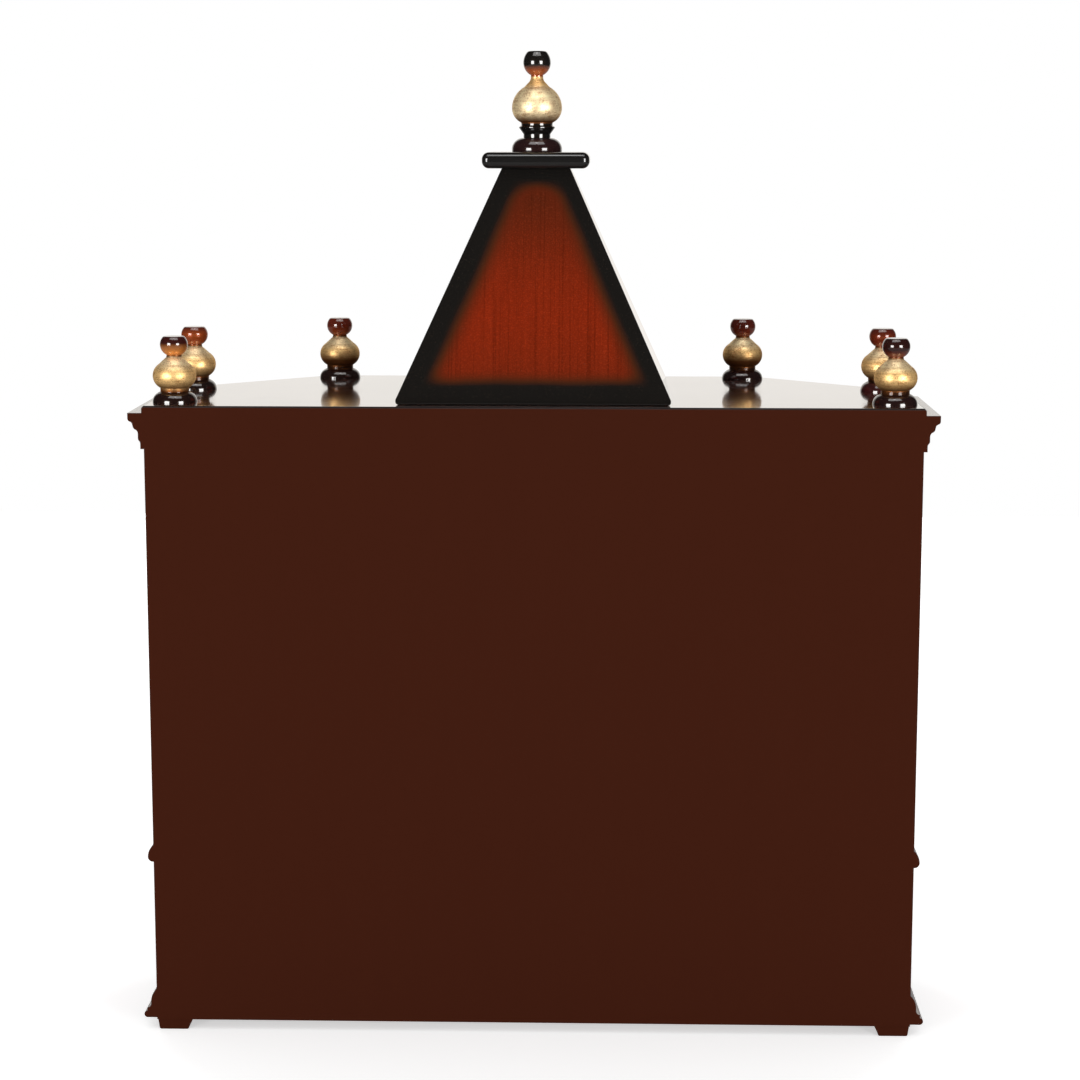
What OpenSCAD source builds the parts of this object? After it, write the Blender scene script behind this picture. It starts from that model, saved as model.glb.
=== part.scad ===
// Wall-mounted pooja mandir: a half-octagon shrine cabinet with a mitred crown, a glossy deck,
// a hollow four-sided spire and turned finials. Millimetres, +Z up, the front faces -Y.
// The origin is on the floor, in the middle of the width and of the depth.

/* [Carcass] */
// Width over the side panels
body_w = 586; // [480:1:720]
// Depth from the back face to the front face, without mouldings
body_d = 254; // [220:0.5:320]
// Depth of the straight side panels
side_d = 140; // [110:1:165]
// Width of the front face between the slanted bays
front_w = 358; // [300:1:430]
// Height of the side panels
body_h = 475.7; // [400:0.1:620]
// Height from the bottom of the panels to the shrine floor
floor_h = 140.3; // [110:0.1:180]
// Thickness of the boards
board_t = 12; // [9:0.5:16]
// Thickness of the back panel
back_t = 9; // [6:0.5:12]

/* [Feet] */
// Height of a foot
foot_h = 8; // [4:0.5:30]
// Width and depth of a foot at its top
foot_w = 27; // [18:0.5:36]
// Taper on the inner side of a foot
foot_taper = 3; // [0:0.5:6]
// Taper on the outer side of a foot
foot_lean = 1; // [0:0.5:3]
// Radius of a foot's lower edges
foot_r = 1.6; // [0.4:0.1:3]
// Distance from a foot to the faces above it
foot_inset = 0.6; // [0.2:0.1:6]

/* [Mouldings] */
// Height of the crown moulding
crown_h = 27.3; // [22:0.1:36]
// Projection of the crown moulding
crown_out = 12; // [9:0.1:18]
// Distance that the waist moulding reaches below the shrine floor's board
waist_lap = 1.3; // [0.6:0.1:5]
// Projection of the waist moulding
waist_out = 4.4; // [4:0.1:7]
// Height of the base moulding
base_h = 23.2; // [19:0.1:30]
// Projection of the base moulding
base_out = 10; // [8:0.1:14]
// Height of the base moulding above the bottom of the panels
base_lift = 1.5; // [0:0.1:4]

/* [Deck] */
// Thickness of the deck's lip above the crown
lip_t = 5.3; // [4:0.1:9]
// Overhang of the deck's lip past the panels
lip_out = 1.4; // [0.5:0.1:4]
// Radius of the lip's upper edge
lip_r = 2.4; // [1:0.1:3]
// Depth of the deck's core between the panels
core_t = 6.7; // [4:0.1:12]
// Clearance between the deck's core and the panels
core_gap = 0.3; // [0.1:0.1:0.8]

/* [Spire] */
// Width of the spire at the deck
spire_base = 208; // [160:1:236]
// Width of the spire at its top
spire_top = 53; // [40:1:76]
// Height of the spire
spire_h = 176; // [130:1:260]
// Thickness of a spire face, measured level
spire_t = 10; // [6:0.5:16]
// Distance from the back face to the foot of the spire
spire_back = 14; // [6:1:24]
// Height of the spire's upright foot
spire_foot = 3.8; // [2.8:0.1:10]
// Radius of the spire's lower edges
spire_r = 2.4; // [0.4:0.1:2.6]

/* [Cap slab] */
// Width of the cap slab
cap_w = 83; // [68:1:104]
// Thickness of the cap slab
cap_t = 12.4; // [11.2:0.1:18]
// Radius of the cap slab's edges
cap_r = 5.4; // [2:0.1:5.5]

/* [Finials] */
// Height of a corner finial
finial_h = 50; // [40:1:62]
// Distance from a corner finial's axis to the lip's edges
finial_inset = 20; // [18.5:0.5:26]
// Distance that the front finials stand in from the middle lines of their corners
finial_in = 2.5; // [0:0.5:5]
// Distance from the back face to the rear finials' axis
finial_back = 34; // [20:1:50]
// Height of the peak finial
peak_h = 77.6; // [62:0.1:96]

/* [Pillars] */
// Width of a pillar's square blocks
block_w = 27; // [22:0.5:30]
// Distance from a pillar's block to the outer faces
pillar_set = 0.6; // [0.2:0.1:6]
// Height of a pillar's lower block
plinth_h = 24; // [16:1:34]
// Height of a pillar's upper block
abacus_h = 20; // [14:1:30]
// Distance from a pillar's rings to the edge of its block
ring_set = 0.9; // [0.2:0.1:2]
// Thickness of the rings beside the blocks
ring_t = 6; // [4:0.5:8]
// Radius of a pillar's vase
vase_r = 12.4; // [10.5:0.1:15]
// Radius of a pillar's shaft at its foot
shaft_r = 9; // [7:0.1:10]
// Narrowing of the shaft towards its top
shaft_taper = 1.6; // [0:0.1:2.4]
// Distance from a mid pillar's block to the side panel behind it
notch_gap = 9; // [1:0.5:16]

/* [Arches] */
// Height of the arch boards
arch_h = 84; // [70:1:110]
// Thickness of the arch boards
arch_t = 10; // [8:0.5:12]
// Rise of the arches above the pillars
arch_rise = 50; // [38:1:52]
// Number of the front arch's foils
front_foils = 9; // [7:1:11]
// Radius of the front arch's foils
front_foil_r = 32; // [24:1:36]
// Number of each slanted arch's foils
side_foils = 5; // [5:1:7]
// Radius of the slanted arches' foils
side_foil_r = 17; // [13:1:20]
// Distance from a pillar's block to the edge of an arch
arch_land = 3; // [1:0.5:8]

/* [Drawer] */
// Height of the rail under the drawer front
rail_h = 26; // [24.8:0.1:36]
// Width of the stiles beside the drawer front
stile_w = 44; // [30:1:70]
// Thickness of the drawer front
drawer_t = 14; // [10:0.5:18]
// Gap round the drawer front
drawer_gap = 0.8; // [0.4:0.1:0.9]
// Width of the border round the drawer front's raised field
field_border = 12; // [8:0.5:18]
// Height of the drawer front's raised field
field_out = 2; // [1:0.5:4]
// Radius of the drawer's knob
knob_r = 9; // [7:0.5:14]
// Length of the knob's neck
knob_neck = 6.3; // [4:0.1:12]

/* [Hidden] */
$fn = 64;
eps = 1;

// How far one turned curve runs into the next, so that the two cross
overlap = 0.03;

// The knob: a neck and a flattened ball
knob_ball = 1.5 * knob_r;
knob_len = knob_neck + knob_ball;

// Plan: the back plane, the mid corners and the front corners
front_out = max(crown_out, field_out + knob_len);
back_y = (body_d + front_out) / 2;
mid_y = back_y - side_d;
front_y = back_y - body_d;
half_w = body_w / 2;
half_front = front_w / 2;
bay_x = half_w - half_front;
bay_y = body_d - side_d;
bay_len = norm([bay_x, bay_y]);
// Turn of the faces at a mid corner and at a front corner
mid_turn = atan2(bay_x, bay_y);
front_turn = 90 - mid_turn;

// Heights
base_z = foot_h;
floor_z = base_z + floor_h;
lip_z = base_z + body_h;
deck_z = lip_z + lip_t;
core_z = lip_z - core_t;
spring_z = lip_z - arch_h;
crown_z = lip_z - crown_h;
under_floor_z = floor_z - board_t;
waist_z = under_floor_z - waist_lap;
waist_h = floor_z - waist_z;
cap_z = deck_z + spire_h;
peak_z = cap_z + cap_t;

// Corner points of the faces moved out by d, at the right
function rear_corner(d) = [half_w + d, back_y];
function mid_corner(d) = [half_w + d, mid_y - d * tan(mid_turn / 2)];
function front_corner(d) = [half_front + d * tan(front_turn / 2), front_y - d];
function mirrored(points) = [for (i = [len(points) - 1:-1:0]) [-points[i][0], points[i][1]]];
function half_plan(d) = [rear_corner(d), mid_corner(d), front_corner(d)];
function full_plan(d) = concat(half_plan(d), mirrored(half_plan(d)));

pillar_h = spring_z - floor_z;
spire_y = back_y - spire_back - spire_base / 2;

// Half-width of a pillar's block, seen along a face of the corner that it turns halfway round
function block_reach(turn) = block_w * (cos(turn / 2) + sin(turn / 2)) / 2;
function pillar_inset(turn) = block_reach(turn) + pillar_set;
pillar_mid = mid_corner(-pillar_inset(mid_turn));
pillar_front = front_corner(-pillar_inset(front_turn));
notch_y = pillar_mid[1] + block_reach(mid_turn) + notch_gap;

finial_mid = mid_corner(lip_out - finial_inset);
finial_front = front_corner(lip_out - finial_inset) - [finial_in, 0];
finial_rear = [finial_mid[0], back_y - finial_back];

module on_left() { mirror([1, 0, 0]) children(); }
module pair() {
    children();
    on_left() children();
}
module slab(points, z0, z1) {
    translate([0, 0, z0]) linear_extrude(z1 - z0) polygon(points);
}

// ---- Boards ----

module back_panel() {
    color("saddlebrown")
    translate([-half_w, back_y - back_t, base_z]) cube([body_w, back_t, body_h]);
}

// The side panel leaves a notch at its front edge, where the pillar stands
module side_panel() {
    inner = mid_corner(-board_t);
    color("sienna") difference() {
        slab([[half_w, back_y - back_t], mid_corner(0), inner, [inner[0], back_y - back_t]],
             base_z, lip_z);
        translate([half_w - board_t - eps, mid_y - eps, floor_z])
            cube([board_t + 2 * eps, notch_y - mid_y + eps, pillar_h]);
    }
}

module bottom_board() {
    rear = [half_w - board_t, back_y - back_t];
    side = [rear, mid_corner(-board_t), front_corner(-board_t)];
    color("sienna") slab(concat(side, mirrored(side)), base_z, base_z + board_t);
}

module platform_board() {
    rear = [half_w - board_t, back_y - back_t];
    side = [rear, mid_corner(-board_t), mid_corner(0), front_corner(0)];
    color("sienna") slab(concat(side, mirrored(side)), under_floor_z, floor_z);
}

// A quarter-round cut along the straight from a to b, at the upper edge of height z,
// where the board lies to the right of the way from a to b
module round_over(a, b, z, r) {
    run = b - a;
    past = 4 * r;
    translate([a[0], a[1], z]) rotate([0, 0, atan2(run[1], run[0])])
        rotate([90, 0, 90]) translate([0, 0, -past]) linear_extrude(norm(run) + 2 * past)
            difference() {
                translate([-r, -r]) square(r + eps);
                translate([-r, -r]) circle(r);
                translate([-r - eps, -r]) square([eps, r]);
            }
}

module deck_board() {
    outline = full_plan(lip_out);
    last = len(outline) - 1;
    inner = full_plan(-board_t - core_gap);
    core_back = back_y - back_t - core_gap;
    color("dimgray") union() {
        difference() {
            slab(outline, lip_z, deck_z);
            for (i = [0:last])
                round_over(outline[i], outline[(i + 1) % (last + 1)], deck_z, lip_r);
        }
        slab([for (p = inner) [p[0], min(p[1], core_back)]], core_z, lip_z + eps);
    }
}

// ---- Lower cabinet ----

module chamfer_panel() {
    color("sienna")
    slab([mid_corner(0), front_corner(0), front_corner(-board_t), mid_corner(-board_t)],
         base_z, under_floor_z);
}

module front_rail() {
    side = [front_corner(-board_t), front_corner(0)];
    color("sienna") slab(concat(side, mirrored(side)), base_z, base_z + rail_h);
}

module front_stile() {
    inner_x = half_front - stile_w;
    color("sienna")
    slab([front_corner(0), [inner_x, front_y], [inner_x, front_y + board_t], front_corner(-board_t)],
         base_z + rail_h, under_floor_z);
}

module drawer_front() {
    w = front_w - 2 * stile_w - 2 * drawer_gap;
    z0 = base_z + rail_h + drawer_gap;
    h = under_floor_z - drawer_gap - z0;
    color("brown") union() {
        translate([-w / 2, front_y, z0]) cube([w, drawer_t, h]);
        translate([-w / 2 + field_border, front_y - field_out, z0 + field_border])
            cube([w - 2 * field_border, field_out + eps, h - 2 * field_border]);
    }
}

module drawer_knob() {
    flange_r = 0.7 * knob_r;
    flange_t = 2;
    stem_r = 0.45 * knob_r;
    color("gold")
    translate([0, front_y - field_out, (base_z + rail_h + under_floor_z) / 2]) rotate([90, 0, 0])
        turned() {
            square([flange_r, flange_t]);
            square([stem_r, knob_neck + eps]);
            bead(knob_r, knob_ball, knob_neck + knob_ball / 2);
        }
}

// ---- Feet ----

// A foot seen from behind: its outer edge is at x = 0, and both sides lean in
module foot() {
    inner = foot_taper - foot_w;
    rotate([90, 0, 0]) linear_extrude(foot_w) {
        polygon([[inner, foot_r], [inner + foot_r, 0], [-foot_lean - foot_r, 0],
                 [-foot_lean, foot_r], [0, foot_h], [-foot_w, foot_h]]);
        for (x = [inner + foot_r, -foot_lean - foot_r]) translate([x, foot_r]) circle(foot_r);
    }
}

module foot_rear() {
    color("saddlebrown") translate([half_w - foot_inset, back_y - foot_inset, 0]) foot();
}

module foot_front() {
    color("saddlebrown")
    translate([half_front - foot_inset, front_y + foot_w + foot_inset, 0]) foot();
}

// ---- Mouldings: each profile has its back at x = 0 and grows outwards ----

// An S-shaped side from [x0, z0] out and up to [x1, z1], made of two arcs, and all behind it
module cyma(x0, z0, x1, z1) {
    half_x = (x1 - x0) / 2;
    half_z = (z1 - z0) / 2;
    r = (pow(half_x, 2) + pow(half_z, 2)) / (2 * half_x);
    translate([0, z0]) square([x0, z1 - z0]);
    translate([x0, z0 + half_z]) square([half_x, half_z]);
    intersection() {
        translate([x1 - r, z1]) circle(r);
        translate([x0 + half_x, z0 + half_z]) square([half_x, half_z]);
    }
    difference() {
        translate([x0, z0]) square([half_x, half_z]);
        translate([x0 + r, z0]) circle(r);
    }
}

// A bulging side that leaves [out, z0] upright and reaches the back at z1
module sweep(out, z0, z1) {
    r = (pow(z1 - z0, 2) + pow(out, 2)) / (2 * out);
    intersection() {
        translate([out - r, z0]) circle(r);
        translate([0, z0]) square([out, z1 - z0]);
    }
}

// The base: a rounded nose, a ledge, a cove up to the neck, and a long bulging shoulder
module base_profile() {
    nose_t = 0.54 * base_out;
    ledge = 0.76 * base_out;
    ledge_h = 0.8 * base_out;
    neck = 0.45 * base_out;
    cove_r = ledge - neck;
    shoulder = max(0.56 * base_h, ledge_h + cove_r);
    bead(base_out, nose_t, nose_t / 2);
    square([ledge, ledge_h]);
    difference() {
        translate([0, ledge_h]) square([ledge, cove_r]);
        translate([ledge, ledge_h + cove_r]) circle(cove_r);
    }
    square([neck, shoulder]);
    sweep(neck, shoulder, base_h);
}

// The waist: a rounded nose below a long bulging shoulder
module waist_profile() {
    nose = 0.9 * waist_out;
    bead(waist_out, 2 * nose, nose);
    sweep(waist_out, nose, waist_h);
}

// The crown: three S-shaped steps out to the top fillet, as [height, projection] shares
module crown_profile() {
    steps = [[0, 0.22], [0.15, 0.22], [0.3, 0.36], [0.43, 0.36], [0.65, 0.68], [0.67, 0.7],
             [0.85, 1], [1, 1]];
    for (i = [0:len(steps) - 2]) {
        z0 = steps[i][0] * crown_h;
        z1 = steps[i + 1][0] * crown_h;
        x0 = steps[i][1] * crown_out;
        x1 = steps[i + 1][1] * crown_out;
        if (x1 > x0) cyma(x0, z0, x1, z1);
        else translate([0, z0]) square([x0, z1 - z0]);
    }
}

// One length of moulding along +X from 0 to len, mitred at each end by half of the turn there
module mitred_length(len, h, out, turn0, turn1) {
    flare0 = out * tan(turn0 / 2);
    flare1 = out * tan(turn1 / 2);
    intersection() {
        translate([-flare0 - eps, 0, 0]) rotate([90, 0, 90])
            linear_extrude(len + flare0 + flare1 + 2 * eps) children();
        linear_extrude(h) polygon([[0, 0], [len, 0], [len + flare1, out], [-flare0, out]]);
    }
}

module moulding_front(z, h, out) {
    translate([half_front, front_y, z]) rotate([0, 0, 180])
        mitred_length(front_w, h, out, front_turn, front_turn) children();
}

module moulding_bay(z, h, out) {
    translate([half_w, mid_y, z]) rotate([0, 0, -90 - mid_turn])
        mitred_length(bay_len, h, out, mid_turn, front_turn) children();
}

module moulding_side(z, h, out) {
    translate([half_w, back_y, z]) rotate([0, 0, -90])
        mitred_length(side_d, h, out, 0, mid_turn) children();
}

// ---- Arches ----

// A foiled arch: foils of radius r spaced round half an ellipse of half-span s
module foiled_opening(s, rise, r, foils) {
    centres = [for (i = [0:foils - 1]) let (a = 180 * i / (foils - 1))
        [(s - r) * cos(a), (rise - r) * sin(a)]];
    for (c = centres) translate(c) circle(r);
    polygon(centres);
    translate([-s, -2 * rise]) square([2 * s, 2 * rise]);
}

module arch_outline(len, r, foils, corner0, corner1) {
    difference() {
        square([len, arch_h]);
        translate([(len + corner0 - corner1) / 2, 0])
            foiled_opening((len - corner0 - corner1) / 2, arch_rise, r, foils);
    }
}

// Distance along a board from a corner to the arch's edge, past the pillar's block
function land(turn) = pillar_inset(turn) * tan(turn / 2) + block_reach(turn) + arch_land;

module mitred_arch(len, r, foils, turn0, turn1) {
    in0 = arch_t * tan(turn0 / 2);
    in1 = arch_t * tan(turn1 / 2);
    intersection() {
        rotate([90, 0, 0]) linear_extrude(arch_t)
            arch_outline(len, r, foils, land(turn0), land(turn1));
        linear_extrude(arch_h)
            polygon([[0, 0], [len, 0], [len - in1, -arch_t], [in0, -arch_t]]);
    }
}

module front_arch() {
    color("sienna") translate([half_front, front_y, spring_z]) rotate([0, 0, 180])
        mitred_arch(front_w, front_foil_r, front_foils, front_turn, front_turn);
}

module bay_arch() {
    color("sienna") translate([half_w, mid_y, spring_z]) rotate([0, 0, -90 - mid_turn])
        mitred_arch(bay_len, side_foil_r, side_foils, mid_turn, front_turn);
}

// ---- Turned pieces ----

// A rounded disc of radius r, centred at height z
module bead(r, thick, z) {
    translate([r - thick / 2, z]) circle(thick / 2);
    translate([0, z - thick / 2]) square([r - thick / 2, thick]);
}

// A ball of radius r at height z: an arc of radius up curves in over it, as far as the height reach,
// and one of radius down curves in under it
module ball(r, z, up, down, reach) {
    intersection() {
        translate([r - up, z]) circle(up);
        translate([0, z]) square([r, reach - z]);
    }
    intersection() {
        translate([r - down, z]) circle(down);
        translate([0, z - down]) square([r, down]);
    }
}

// A head: a ball with a flat top, whose rim is rounded with radius rim
module head(r, z, up, down, top, rim) {
    rise = top - rim + overlap - z;
    reach = up - rim + overlap;
    rim_x = r - up + sqrt(pow(reach, 2) - pow(rise, 2));
    intersection() {
        square([2 * r, top]);
        union() {
            ball(r, z, up, down, z + rise * up / reach);
            translate([rim_x, z + rise]) circle(rim);
            translate([0, z]) square([rim_x, top]);
        }
    }
}

// The radius of a hollow arc from radius r0 at height z0 in to r1 at z1, upright at z1
function hollow_arc(r0, z0, r1, z1) = (pow(z1 - z0, 2) + pow(r0 - r1, 2)) / (2 * (r0 - r1));

// A neck that narrows from r0 at z0 to r1 at z1 along a hollow arc
module hollow_neck(r0, z0, r1, z1) {
    arc = hollow_arc(r0, z0, r1, z1);
    difference() {
        translate([0, z0]) square([r0, z1 - z0]);
        translate([r1 + arc, z1]) circle(arc);
    }
}

// A cone from radius ra at height za to r0 at z0, then a hollow neck to r1 at z1 and a stem to top
module cone_neck(ra, za, r0, z0, r1, z1, top) {
    arc = hollow_arc(r0, z0, r1, z1);
    inner = r0 - (r0 - r1) / 5;
    inner_z = z0 + (r0 - inner) * (z0 - za) / (ra - r0);
    difference() {
        polygon([[0, za], [ra, za], [inner, inner_z], [inner, z1], [0, z1]]);
        translate([r1 + arc, z1]) circle(arc);
    }
    translate([0, za]) square([r1 + overlap, top - za]);
}

// The children, drawn to the right of the axis, turned about it
module turned() {
    rotate_extrude() intersection() {
        square(1000);
        children();
    }
}

module block(z, h) {
    translate([-block_w / 2, -block_w / 2, z]) cube([block_w, block_w, h]);
}

// A pillar: square blocks, a vase drawn up into a neck, a double collar and a tapered shaft
module pillar() {
    ring_r = block_w / 2 - ring_set;
    vase_h = 1.6 * vase_r;
    vase_z = plinth_h + ring_t + vase_h / 2;
    shoulder_z = vase_z + 0.4 * vase_h;
    collar_z = shoulder_z + 0.75 * vase_r;
    neck_r = 0.6 * shaft_r;
    collar_r = shaft_r + 2.4;
    collar_t = 4;
    cushion_r = shaft_r + 1.8;
    cushion_t = 11;
    head_z = pillar_h - abacus_h - ring_t;
    cushion_z = head_z - cushion_t / 2;
    shaft_top = cushion_z - cushion_t / 2;
    color("peru") union() {
        block(0, plinth_h);
        block(pillar_h - abacus_h, abacus_h);
        turned() {
            bead(ring_r, ring_t, plinth_h + ring_t / 2);
            bead(vase_r, vase_h, vase_z);
            hollow_neck(0.68 * vase_r, shoulder_z, neck_r, collar_z);
            bead(collar_r, collar_t, collar_z + collar_t / 2);
            bead(collar_r, collar_t, collar_z + 1.5 * collar_t);
            polygon([[0, plinth_h - eps], [neck_r, plinth_h - eps],
                     [neck_r, collar_z + collar_t], [shaft_r, collar_z + collar_t],
                     [shaft_r - shaft_taper, shaft_top], [shaft_r - shaft_taper, head_z + ring_t + eps],
                     [0, head_z + ring_t + eps]]);
            bead(collar_r - shaft_taper, collar_t, shaft_top - collar_t / 2);
            bead(cushion_r, cushion_t, cushion_z);
            bead(ring_r, ring_t, head_z + ring_t / 2);
        }
    }
}

module pillar_at(corner, turn) {
    translate([corner[0], corner[1], floor_z]) rotate([0, 0, turn]) pillar();
}

// A corner finial, drawn 50 tall: domed foot, ball drawn up into a neck, cup-shaped head
module corner_finial() {
    color("goldenrod") turned() scale(finial_h / 50) {
        bead(17, 15.2, 0.2);
        square([10.9, 11]);
        bead(16.5, 21, 20);
        cone_neck(12.6, 28, 7.3, 32.9, 5.7, 35.4, 38);
        head(10.6, 43.8, 8.3, 8.9, 50, 2.2);
    }
}

// The peak finial, drawn 78 tall: domed foot, ridged collar, tall ball and a round head
module peak_finial() {
    color("goldenrod") translate([0, spire_y, peak_z]) turned() scale(peak_h / 78) {
        bead(19.8, 18, 2);
        square([10.6, 15]);
        polygon([[0, 13.8], [10.6, 13.8], [14.2, 18.7], [14.2, 19.3], [12.4, 20.6], [12.3, 24], [0, 24]]);
        ball(19.6, 34, 18.5, 12.4, 51);
        cone_neck(10.2, 50, 7, 53.4, 4.8, 58, 62);
        head(10.8, 69, 12.5, 10.7, 78, 3);
    }
}

module finial_at(p) {
    translate([p[0], p[1], deck_z]) corner_finial();
}

// ---- Spire ----

// The spire's outline: an upright foot with rounded lower corners, then the slope
module spire_outline() {
    half = spire_base / 2;
    polygon([[-half, spire_foot], [half, spire_foot], [spire_top / 2, spire_h], [-spire_top / 2, spire_h]]);
    translate([-half, spire_r]) square([spire_base, spire_foot - spire_r]);
    translate([spire_r - half, 0]) square([spire_base - 2 * spire_r, spire_r]);
    for (x = [spire_r - half, half - spire_r]) translate([x, spire_r]) circle(spire_r);
}

// The outline of the hollow inside, which runs past both ends
module hollow_outline() {
    half = spire_base / 2 - spire_t;
    top = spire_top / 2 - spire_t;
    past = eps * (half - top) / (spire_h - spire_foot);
    polygon([[-half, -eps], [half, -eps], [half, spire_foot], [top - past, spire_h + eps],
             [past - top, spire_h + eps], [-half, spire_foot]]);
}

// A four-sided body: its outline, extruded both ways and crossed
module crossed() {
    intersection() {
        rotate([90, 0, 0]) linear_extrude(2 * spire_base, center = true) children();
        rotate([90, 0, 90]) linear_extrude(2 * spire_base, center = true) children();
    }
}

// One mitred face of the spire, between the upright planes through its hips
module spire_face(turn) {
    color("maroon") translate([0, spire_y, deck_z]) rotate([0, 0, turn]) intersection() {
        difference() {
            crossed() spire_outline();
            crossed() hollow_outline();
        }
        translate([0, 0, -eps]) linear_extrude(spire_h + 2 * eps)
            polygon([[0, 0], [spire_base, spire_base], [-spire_base, spire_base]]);
    }
}

module rounded_bar(w, t, r) {
    for (x = [r, w - r], z = [r, t - r]) translate([x, z]) circle(r);
    translate([r, 0]) square([w - 2 * r, t]);
    translate([0, r]) square([w, t - 2 * r]);
}

// The slab's section, run both ways, with a rounded post in each corner
module cap_slab() {
    run = cap_w - 2 * cap_r;
    color("black") translate([0, spire_y, cap_z]) union() {
        for (turn = [0, 90])
            rotate([0, 0, turn]) rotate([90, 0, 0]) linear_extrude(run, center = true)
                translate([-cap_w / 2, 0]) rounded_bar(cap_w, cap_t, cap_r);
        for (x = [-run / 2, run / 2], y = [-run / 2, run / 2])
            translate([x, y, 0]) turned() {
                translate([0, cap_r]) circle(cap_r);
                translate([0, cap_t - cap_r]) circle(cap_r);
                translate([0, cap_r]) square([cap_r, cap_t - 2 * cap_r]);
            }
    }
}

back_panel();
on_left() side_panel();  // left_side_panel
side_panel();  // right_side_panel
bottom_board();
platform_board();
deck_board();
on_left() chamfer_panel();  // left_chamfer_panel
chamfer_panel();  // right_chamfer_panel
front_rail();
on_left() front_stile();  // front_stile_left
front_stile();  // front_stile_right
drawer_front();
drawer_knob();
on_left() foot_rear();  // foot_rear_left
foot_rear();  // foot_rear_right
on_left() foot_front();  // foot_front_left
foot_front();  // foot_front_right
on_left() pillar_at(pillar_mid, -mid_turn / 2);  // mid_pillar_left
pillar_at(pillar_mid, -mid_turn / 2);  // mid_pillar_right
on_left() pillar_at(pillar_front, front_turn / 2);  // front_pillar_left
pillar_at(pillar_front, front_turn / 2);  // front_pillar_right
front_arch();
on_left() bay_arch();  // left_arch
bay_arch();  // right_arch
color("sienna") moulding_front(base_z + base_lift, base_h, base_out) base_profile();  // base_moulding_front
color("sienna") pair() moulding_bay(base_z + base_lift, base_h, base_out) base_profile();  // base_moulding_bays
color("sienna") pair() moulding_side(base_z + base_lift, base_h, base_out) base_profile();  // base_moulding_sides
color("sienna") moulding_front(waist_z, waist_h, waist_out) waist_profile();  // waist_moulding_front
color("sienna") pair() moulding_bay(waist_z, waist_h, waist_out) waist_profile();  // waist_moulding_bays
color("sienna") pair() moulding_side(waist_z, waist_h, waist_out) waist_profile();  // waist_moulding_sides
color("sienna") moulding_front(crown_z, crown_h, crown_out) crown_profile();  // crown_moulding_front
color("sienna") pair() moulding_bay(crown_z, crown_h, crown_out) crown_profile();  // crown_moulding_bays
color("sienna") pair() moulding_side(crown_z, crown_h, crown_out) crown_profile();  // crown_moulding_sides
spire_face(0);  // spire_back
spire_face(180);  // spire_front
spire_face(90);  // spire_left
spire_face(-90);  // spire_right
cap_slab();
peak_finial();
on_left() finial_at(finial_rear);  // finial_rear_left
finial_at(finial_rear);  // finial_rear_right
on_left() finial_at(finial_mid);  // finial_mid_left
finial_at(finial_mid);  // finial_mid_right
on_left() finial_at(finial_front);  // finial_front_left
finial_at(finial_front);  // finial_front_right
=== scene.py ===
"""Wall-mounted pooja mandir: finishes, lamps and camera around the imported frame."""

import logging
import math
from dataclasses import dataclass, field
from enum import Enum
from typing import Any, Optional, Sequence, Union

import bpy
from bpy.types import Material, Node, NodeSocket, NodeTree, Object
from mathutils import Matrix, Vector

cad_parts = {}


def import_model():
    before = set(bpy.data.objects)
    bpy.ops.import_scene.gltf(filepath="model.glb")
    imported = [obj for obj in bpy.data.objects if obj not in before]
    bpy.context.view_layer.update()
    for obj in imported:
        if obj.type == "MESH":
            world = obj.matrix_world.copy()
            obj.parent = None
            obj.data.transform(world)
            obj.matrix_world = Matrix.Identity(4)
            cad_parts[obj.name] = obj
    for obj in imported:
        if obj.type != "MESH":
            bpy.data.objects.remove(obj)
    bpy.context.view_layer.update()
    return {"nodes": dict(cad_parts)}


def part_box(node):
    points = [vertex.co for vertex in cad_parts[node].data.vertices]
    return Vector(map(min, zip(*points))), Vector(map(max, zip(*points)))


LOG = logging.getLogger("pooja_mandir")
MM = 0.001
TINY = 0.05 * MM

Pair = tuple[float, float]
Triple = tuple[float, float, float]
Colour = tuple[float, float, float, float]
Feed = Union[float, Sequence[float], NodeSocket]
Nodes = dict[str, Object]


def paint(*channels: int) -> Colour:
    """A display colour as the linear colour that a shader takes.

    Args:
        *channels: Its red, green and blue, 0 to 255.

    Returns:
        The linear colour, opaque.
    """

    def linear(level: int) -> float:
        """One channel, without the display's standard curve."""
        share = level / 255
        return share / 12.92 if share <= 0.04045 else ((share + 0.055) / 1.055) ** 2.4

    return (*(linear(level) for level in channels), 1.0)


class Side(Enum):
    """The two halves of the shrine, by the sign of X."""

    LEFT = -1
    RIGHT = 1


class Run(Enum):
    """The way that a board's grain runs, as stretches of the grain pattern along X, Y and Z."""

    UPRIGHT = (300.0, 300.0, 8.0)
    ACROSS = (8.0, 300.0, 300.0)
    DEEP = (300.0, 8.0, 300.0)


class Slot(Enum):
    """The material slots of a piece with more than one finish."""

    SHOW = 0
    WALL = 1
    LIP = 2


# ---- Shader node trees ----


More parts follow.
